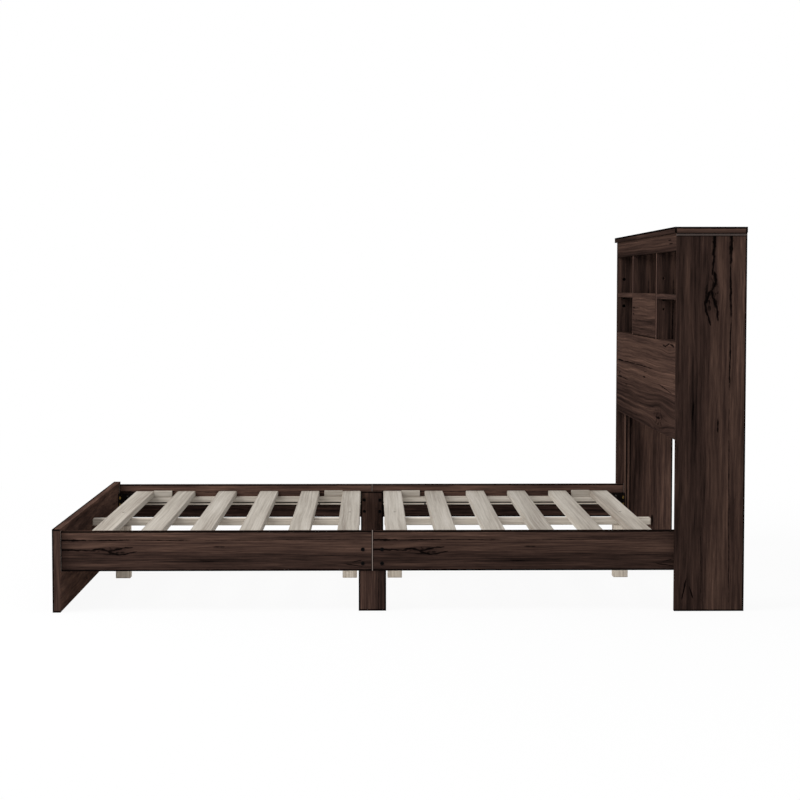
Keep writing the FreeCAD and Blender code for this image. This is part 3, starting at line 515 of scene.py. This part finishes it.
# ---- Headboard cross boards ----------------------------------------------------------------
# Top, apron, lower panel and case floor run from side to side with level grain. The back is one
# thin board with upright grain.
laminate("lower_panel", (0, -1, 0), (0, 0, -1), (0, 0, 1), front_sheet, seed=0.5, arris=0.0,
         shade=1.22)
laminate("apron", (0, -1, 0), (0, 0, -1), (0, 0, 1), level_sheet, seed=6.0, arris=0.0, shade=1.0)
laminate("top_board", (0, -1, 0), (-1, 0, 0), (1, 0, 0), level_sheet, seed=8.0, arris=TOP_EDGE_LINE,
         hidden=((2, 0),), shade=1.3)
laminate("case_floor", (0, -1, 0), (-1, 0, 0), (1, 0, 0), level_sheet, seed=9.0, arris=0.0, shade=1.4)
laminate("back_panel", (0, 0, -1), (0, 1, 0), (0, 1, 0), level_sheet, seed=10.0,
         picture=(1.2, 0.22), start=(0.1, -0.85), arris=0.0, shade=1.2)

# ---- Shelves -------------------------------------------------------------------------------
# Three loose boards on pegs, one in each column. The middle one has a finger recess behind the
# door's top edge. Their front edges are coloured paler, as painted light.
for number, (part, front) in enumerate((("left", 1.35), ("middle", 1.35), ("right", 1.75))):
    laminate(f"shelf_{part}", (0, -1, 0), (-1, 0, 0), (1, 0, 0), level_sheet, seed=11.0 + number,
             picture=(1.2, 0.22), arris=0.0, shade=1.15, painted_light_faces=((0, 0, front),))

# ---- Drop-front door -----------------------------------------------------------------------
# A plain board flush with the panel below, that swings down on a pin at each lower corner. Its
# lower front edge is rounded about the pins.
laminate("drop_door", (0, -1, 0), (0, 0, -1), (0, 0, 1), door_sheet, seed=0.5, arris=0.0,
         shade=1.25)


# ---- Pine ----------------------------------------------------------------------------------
# Bare planed pine, gone a little grey, with fine grey-brown grain lines. All of it but the
# ledgers has small bevels, and a faint brown line is coloured along its edges.
PINE_BEND = 0.022
pine, given, result = group(
    "planed_pine", [("Place", "Vector", None), ("Seed", "Float", 0.0), ("Shade", "Float", 1.0)],
    [("Color", "Color"), ("Roughness", "Float"), ("Height", "Float")])
cloud = noise(pine, given["Place"], (1.6, 4.0, 4.0), seed=given["Seed"])
place = bent(pine, given["Place"], cloud, PINE_BEND)
bands = noise(pine, place, (0.8, 26.0, 20.0), detail=2.0, seed=given["Seed"])
rings = noise(pine, place, (1.5, 150.0, 100.0), detail=3.0, roughness=0.6, seed=given["Seed"])
fibres = noise(pine, place, (14.0, 700.0, 600.0), detail=2.0, roughness=0.6, seed=given["Seed"])
tone = maths(pine, "ADD", maths(pine, "MULTIPLY", bands, 0.6),
             maths(pine, "ADD", maths(pine, "MULTIPLY", rings, 0.7), maths(pine, "MULTIPLY", fibres, 0.3)))
ramp = put(pine, "ShaderNodeValToRGB", Fac=fade(pine, tone, 0.45, 1.15))
ramp.color_ramp.elements[0].color = colour(126, 114, 102)
ramp.color_ramp.elements[1].color = colour(205, 198, 188)
ramp.color_ramp.elements.new(0.35).color = colour(162, 153, 141)
ramp.color_ramp.elements.new(0.65).color = colour(184, 176, 164)
shaded = vectors(pine, "SCALE", ramp.outputs["Color"], Scale=given["Shade"]).outputs[0]
pine.links.new(shaded, result["Color"])
pine.links.new(maths(pine, "ADD", 0.62, maths(pine, "MULTIPLY", rings, 0.15)), result["Roughness"])
pine.links.new(maths(pine, "ADD", maths(pine, "MULTIPLY", rings, 0.5), maths(pine, "MULTIPLY", fibres, 0.5)),
               result["Height"])


def planed(node, along, down, edge, seed=0.0, shade=1.0, painted_shadow_bands=()):
    """Pine finish of one piece or group of like pieces. Painted shadow bands are (bottom, top) heights."""
    material, tree, surface = new_material(node + "_pine")
    where = put(tree, "ShaderNodeTexCoord").outputs
    low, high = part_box(node)
    place = use(tree, laid, Vector=where["Object"], Normal=where["Normal"], Along=along, Down=down,
                Edge=edge, Corner=low).outputs[0]
    # the shade is painted light where it is above one, for pieces that lie in shade under the bed
    sawn = use(tree, pine, Place=place, Seed=seed, Shade=shade).outputs
    rim = use(tree, edges, Vector=where["Object"], Low=low, High=high, Width=0.003).outputs[0]
    tinted = maths(tree, "MULTIPLY", rim, 0.45)
    finish = mix(tree, tinted, sawn["Color"], colour(150, 138, 124))
    height = put(tree, "ShaderNodeSeparateXYZ", Vector=where["Object"]).outputs["Z"]
    # painted shadow: near-black between each pair of heights
    for bottom, top in painted_shadow_bands:
        inside = maths(tree, "MULTIPLY", maths(tree, "GREATER_THAN", height, bottom),
                       maths(tree, "LESS_THAN", height, top))
        finish = mix(tree, inside, finish, colour(6, 5, 5))
    tree.links.new(finish, surface.inputs["Base Color"])
    tree.links.new(sawn["Roughness"], surface.inputs["Roughness"])
    surface.inputs["Specular IOR Level"].default_value = 0.25
    bump = put(tree, "ShaderNodeBump", Strength=0.2, Distance=0.0005, Height=sawn["Height"])
    tree.links.new(bump.outputs[0], surface.inputs["Normal"])
    dress(node, material)


# ---- Slats ---------------------------------------------------------------------------------
# Twelve pine boards across the bed, six on each half of the base, all of one wood. The first and
# the last two are coloured a little paler, to bring them nearer to the photograph's brightness.
# this paleness is painted light, making up for the shade that the end boards throw on the end slats
PAINTED_LIGHT_SLATS = {1: 1.04, 11: 1.03, 12: 1.12}
OTHER_SLATS = 0.95
for number in range(1, 13):
    planed(f"slat_{number:02d}", (0, 1, 0), (1, 0, 0), (1, 0, 0), seed=1.3 * number,
           shade=PAINTED_LIGHT_SLATS.get(number, OTHER_SLATS))

# ---- Beams, ledgers and blocks -------------------------------------------------------------
# Beams on thin stepped ledgers along the rails, one down the middle of each half, and short blocks
# beside its end slats. A ledger's step is real and is painted near-black as shade too, and a
# painted shadow line runs along the foot of its face. The beams and ledgers are coloured paler,
# as painted light.
LEDGER_STEP, LEDGER_FOOT = (0.1826, 0.190), (0.170, 0.1772)
for number, end in enumerate(("foot", "head")):
    for side in ("left", "right"):
        planed(f"side_beam_{end}_{side}", (1, 0, 0), (0, 1, 0), (0, 1, 0), seed=20.0 + number, shade=1.22)
    planed(f"centre_beam_{end}", (1, 0, 0), (0, 1, 0), (0, 1, 0), seed=24.0 + number, shade=1.4)
planed("ledgers", (1, 0, 0), (0, 1, 0), (0, 1, 0), seed=27.0, shade=1.7,
       painted_shadow_bands=(LEDGER_FOOT, LEDGER_STEP))
planed("frame_blocks", (1, 0, 0), (0, 1, 0), (0, 1, 0), seed=29.0)

# ---- Centre legs ---------------------------------------------------------------------------
# Four square pine legs under the middle beams, each held by one screw that comes down through a
# slat and the beam. They are coloured much paler, as painted light.
for number in range(1, 5):
    planed(f"centre_leg_{number}", (0, 0, -1), (1, 0, 0), (1, 0, 0), seed=31.0 + number, shade=1.9)


# ---- Metal and nylon fittings --------------------------------------------------------------
# Bright zinc cams, cam bolts, door pins and catch plates, black-coated brackets and catches, and
# white nylon bushes. The finishes of the turned fittings below are here too.
worn, given, result = group(
    "worn_metal", [("Vector", "Vector", None), ("Clean", "Color", (0.5, 0.5, 0.5, 1.0)),
                   ("Dull", "Color", (0.3, 0.3, 0.3, 1.0)), ("Roughness", "Float", 0.35)],
    [("Color", "Color"), ("Roughness", "Float"), ("Height", "Float")])
stain = noise(worn, given["Vector"], (90.0, 90.0, 90.0), detail=4.0, roughness=0.6)
brushed = noise(worn, given["Vector"], (900.0, 900.0, 60.0), detail=2.0)
rougher = maths(worn, "ADD", given["Roughness"], maths(worn, "MULTIPLY", stain, 0.2))
worn.links.new(mix(worn, fade(worn, stain, 0.45, 0.65), given["Clean"], given["Dull"]), result["Color"])
worn.links.new(rougher, result["Roughness"])
worn.links.new(brushed, result["Height"])


def plated(name, clean, dull, roughness, metallic, *names):
    """Finish of small metal or nylon fittings."""
    material, tree, surface = new_material(name)
    where = put(tree, "ShaderNodeTexCoord").outputs["Object"]
    coat = use(tree, worn, Vector=where, Clean=clean, Dull=dull, Roughness=roughness).outputs
    tree.links.new(coat["Color"], surface.inputs["Base Color"])
    tree.links.new(coat["Roughness"], surface.inputs["Roughness"])
    surface.inputs["Metallic"].default_value = metallic
    surface.inputs["Specular IOR Level"].default_value = 0.5 if metallic else 0.05
    bump = put(tree, "ShaderNodeBump", Strength=0.15, Distance=0.0002, Height=coat["Height"])
    tree.links.new(bump.outputs[0], surface.inputs["Normal"])
    for node in names:
        dress(node, material)
    return material


plated("zinc_plate", colour(150, 150, 146), colour(104, 104, 102), 0.32, 1.0, "door_pins", "catch_plates",
       "cam_locks", "cam_bolts")
zinc = plated("dulled_zinc", colour(96, 92, 88), colour(60, 56, 54), 0.45, 1.0)
black_zinc = plated("black_zinc", colour(8, 7, 7), colour(4, 4, 4), 0.6, 0.0)
plated("black_powder_coat", colour(18, 12, 10), colour(10, 7, 6), 0.7, 0.0, "corner_brackets",
       "catch_magnets")
brass = plated("yellow_passivate", colour(130, 106, 56), colour(78, 63, 36), 0.45, 1.0)
plated("white_nylon", colour(226, 226, 222), colour(206, 205, 200), 0.5, 0.0, "door_bushes")


# ---- Screws, bolts, nuts and pegs ----------------------------------------------------------
# Blackened bolts, nuts, slat screws and pegs, dull wood screws and yellow flange bolts, made round
# here where the solids are flat-sided. The kinds of drive recess in their heads are guessed.
def turned(name, node, material, places, *forms):
    """Round fittings of one kind, one mesh for all: each profile of (distance, radius) is carried
    round its axis, point = start + axis * distance + radius * (cos turn, sin turn), and a recess
    sinks the head's face, which is at distance nothing, by its depth there."""
    points, faces = [], []
    for start, axis in places:
        axis = np.array(axis, float)
        across = np.roll(axis, 1)
        for profile, sides, recess in forms:
            turn = np.arange(sides) * 2 * np.pi / sides
            distance = np.array([d for d, _ in profile])[:, None] + 0 * turn
            x, y = (np.array([r for _, r in profile])[:, None] * wave(turn) for wave in (np.cos, np.sin))
            if recess:
                distance = distance + np.where(distance == 0, recess(x, y), 0.0)
            grid = (np.array(start) + distance[..., None] * axis + x[..., None] * across
                    + y[..., None] * np.cross(axis, across))
            first = sum(map(len, points))
            index = first + np.arange(grid.shape[0] * sides).reshape(grid.shape[:2])
            beside = np.roll(index, -1, axis=1)
            faces += np.stack([index[:-1], beside[:-1], beside[1:], index[1:]], -1).reshape(-1, 4).tolist()
            points.append(grid.reshape(-1, 3))
    mesh = bpy.data.meshes.new(name)
    mesh.from_pydata(np.concatenate(points).tolist(), [], faces)
    shape = bmesh.new()
    shape.from_mesh(mesh)
    bmesh.ops.remove_doubles(shape, verts=shape.verts, dist=1e-6)
    bmesh.ops.recalc_face_normals(shape, faces=shape.faces)
    shape.to_mesh(mesh)
    shape.free()
    mesh.polygons.foreach_set("use_smooth", [True] * len(mesh.polygons))
    mesh.set_sharp_from_angle(angle=math.radians(32))
    mesh.materials.append(material)
    piece = bpy.data.objects.new(name, mesh)
    bpy.context.scene.collection.objects.link(piece)
    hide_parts(node)
    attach(piece, "root")


def hexagon_socket(x, y):
    """Sinks 1.8 mm inside a hexagon 4 mm across its flats."""
    inside = 0.002 - np.max([abs(x * np.cos(a) + y * np.sin(a)) for a in np.arange(3) * np.pi / 3], axis=0)
    return 0.0018 * np.clip(inside / 0.0002, 0, 1)


def cross_slot(radius):
    """Sinks inside two crossed slots, deeper towards their middles, on a head of this radius."""
    reach, half = 0.62 * radius, 0.17 * radius

    def sink(x, y):
        one = np.minimum(reach - abs(x), half - abs(y))
        other = np.minimum(reach - abs(y), half - abs(x))
        inside = np.maximum(one, other)
        return 0.55 * radius * np.clip(inside / half, 0, 1) ** 0.5
    return sink


def countersunk(length, radius, head_radius):
    """Wood screw: flat head, cone, shank and point."""
    face = [(0.0, head_radius * share) for share in np.linspace(0, 0.96, 14)]
    return (face + [(0.0002, head_radius), (0.0004, head_radius), (head_radius - radius, radius),
                    (length - 0.003, radius), (length, 0.0)], 40, cross_slot(head_radius))


MM = 0.001
SIDES = (1, -1)
JOINT_X, RAIL_LENGTH = -83 * MM, 973 * MM
RAIL_FACE, RAIL_LEG_FACE, LEDGER_FACE, BRACKET_FACE = 712 * MM, 676 * MM, 672 * MM, 691 * MM
SLAT_TOP, CASE_UNDERSIDE, LEDGER_SCREW_Z, PEG_Z = 228 * MM, 822 * MM, 179 * MM, 970.5 * MM

# rail bolts, and the sleeve nuts that they turn in, on the inner faces of the rail legs
HEAD, HEAD_RADIUS = 2.5 * MM, 6 * MM
BOLT_RADIUS, BOLT_LENGTH = 3 * MM, 34.5 * MM
SLEEVE_RADIUS, SLEEVE_BORE, SLEEVE_LENGTH = 4.2 * MM, 3.1 * MM, 16.5 * MM
joints = [(s, JOINT_X + dx * MM, z * MM) for s in SIDES for dx in (-30, 30) for z in (150, 194)]
bolt_face = [(0.0, r * MM) for r in (0, 0.8, 1.5, 1.8, 1.95, 2.1, 2.25, 2.4, 2.7, 4.2)]
bolt_side = [(0.25 * MM, 5.1 * MM), (0.7 * MM, 5.7 * MM), (1.4 * MM, HEAD_RADIUS), (HEAD, HEAD_RADIUS),
             (HEAD, BOLT_RADIUS), (BOLT_LENGTH, BOLT_RADIUS), (BOLT_LENGTH, 0.0)]
turned("rail_bolts", "rail_leg_bolts", black_zinc,
       [((x, s * (RAIL_FACE + HEAD), z), (0, -s, 0)) for s, x, z in joints],
       (bolt_face + bolt_side, 48, hexagon_socket))
sleeve = [(0.0, SLEEVE_BORE), (0.0, 4.6 * MM), (0.3 * MM, 5.6 * MM), (0.9 * MM, HEAD_RADIUS),
          (HEAD, HEAD_RADIUS), (HEAD, SLEEVE_RADIUS), (SLEEVE_LENGTH, SLEEVE_RADIUS),
          (SLEEVE_LENGTH, SLEEVE_BORE), (0.0, SLEEVE_BORE)]
turned("sleeve_nuts", "rail_leg_nuts", black_zinc,
       [((x, s * (RAIL_LEG_FACE - HEAD), z), (0, s, 0)) for s, x, z in joints], (sleeve, 40, None))

# each corner bracket's two bolts into the end board, and its two screws into the rail
HEX_HEIGHT, HEX_RADIUS, FLANGE_HEIGHT, FLANGE_RADIUS = 4.5 * MM, 5.7 * MM, 6 * MM, 7 * MM
SHANK_RADIUS, FLANGE_BOLT_LENGTH = 3.15 * MM, 22 * MM
FLANGE_BOLT_X, FLANGE_BOLT_Y, BRACKET_SCREW_X = 9 * MM, 672.5 * MM, 31.5 * MM
corners = [(e, JOINT_X + e * RAIL_LENGTH, s) for e in (-1, 1) for s in SIDES]
hexagon = [(0.0, 0.0), (0.0, 4.9 * MM), (0.6 * MM, HEX_RADIUS), (HEX_HEIGHT, HEX_RADIUS),
           (HEX_HEIGHT, 0.0)]
flange = [(HEX_HEIGHT, 0.0), (HEX_HEIGHT, 6.2 * MM), (5.2 * MM, FLANGE_RADIUS),
          (FLANGE_HEIGHT, FLANGE_RADIUS), (FLANGE_HEIGHT, SHANK_RADIUS),
          (FLANGE_BOLT_LENGTH, SHANK_RADIUS), (FLANGE_BOLT_LENGTH, 0.0)]
turned("flange_bolts", "bracket_bolts", brass,
       [((x - e * FLANGE_BOLT_X, s * FLANGE_BOLT_Y, z * MM), (e, 0, 0))
        for e, x, s in corners for z in (176.5, 203.5)], (hexagon, 6, None), (flange, 40, None))
turned("angle_screws", "bracket_screws", zinc,
       [((x - e * BRACKET_SCREW_X, s * BRACKET_FACE, z * MM), (0, s, 0))
        for e, x, s in corners for z in (172, 208)], countersunk(15 * MM, 2 * MM, 3.5 * MM))

# long screws through the ledgers into the rails, and up through the case's floor into the dividers
ledger_screws = [((JOINT_X + x * MM, s * LEDGER_FACE, LEDGER_SCREW_Z), (0, s, 0))
                 for s in SIDES for x in (-748.5, -203.5, 203.5, 748.5)]
floor_screws = [((x * MM, s * 288 * MM, CASE_UNDERSIDE), (0, 0, 1)) for s in SIDES for x in (920, 1037)]
turned("board_screws", "long_screws", zinc, ledger_screws + floor_screws,
       countersunk(35 * MM, 2 * MM, 3.5 * MM))

# the centre legs' screws, with their heads in the slats' tops
turned("slat_screws", "leg_screws", black_zinc,
       [((JOINT_X + x * MM, 0.0, SLAT_TOP), (0, 0, -1)) for x in (-868.5, -78.5, 78.5, 868.5)],
       countersunk(74 * MM, 2.5 * MM, 5 * MM))

# pegs under the shelves' corners, out of the side panels and both faces of the dividers
PEG_LENGTH, PEG_RADIUS = 18 * MM, 4 * MM
peg = [(0.0, 0.0), (0.0, PEG_RADIUS), (16.8 * MM, PEG_RADIUS), (17.6 * MM, 3.5 * MM),
       (PEG_LENGTH, 2.4 * MM), (PEG_LENGTH, 0.0)]
turned("shelf_studs", "shelf_pegs", black_zinc,
       [((x * MM, s * start * MM, PEG_Z), (0, s * out, 0)) for s in SIDES for x in (887.5, 1054.5)
        for start, out in ((720, -1), (289, 1), (287, -1))], (peg, 32, None))
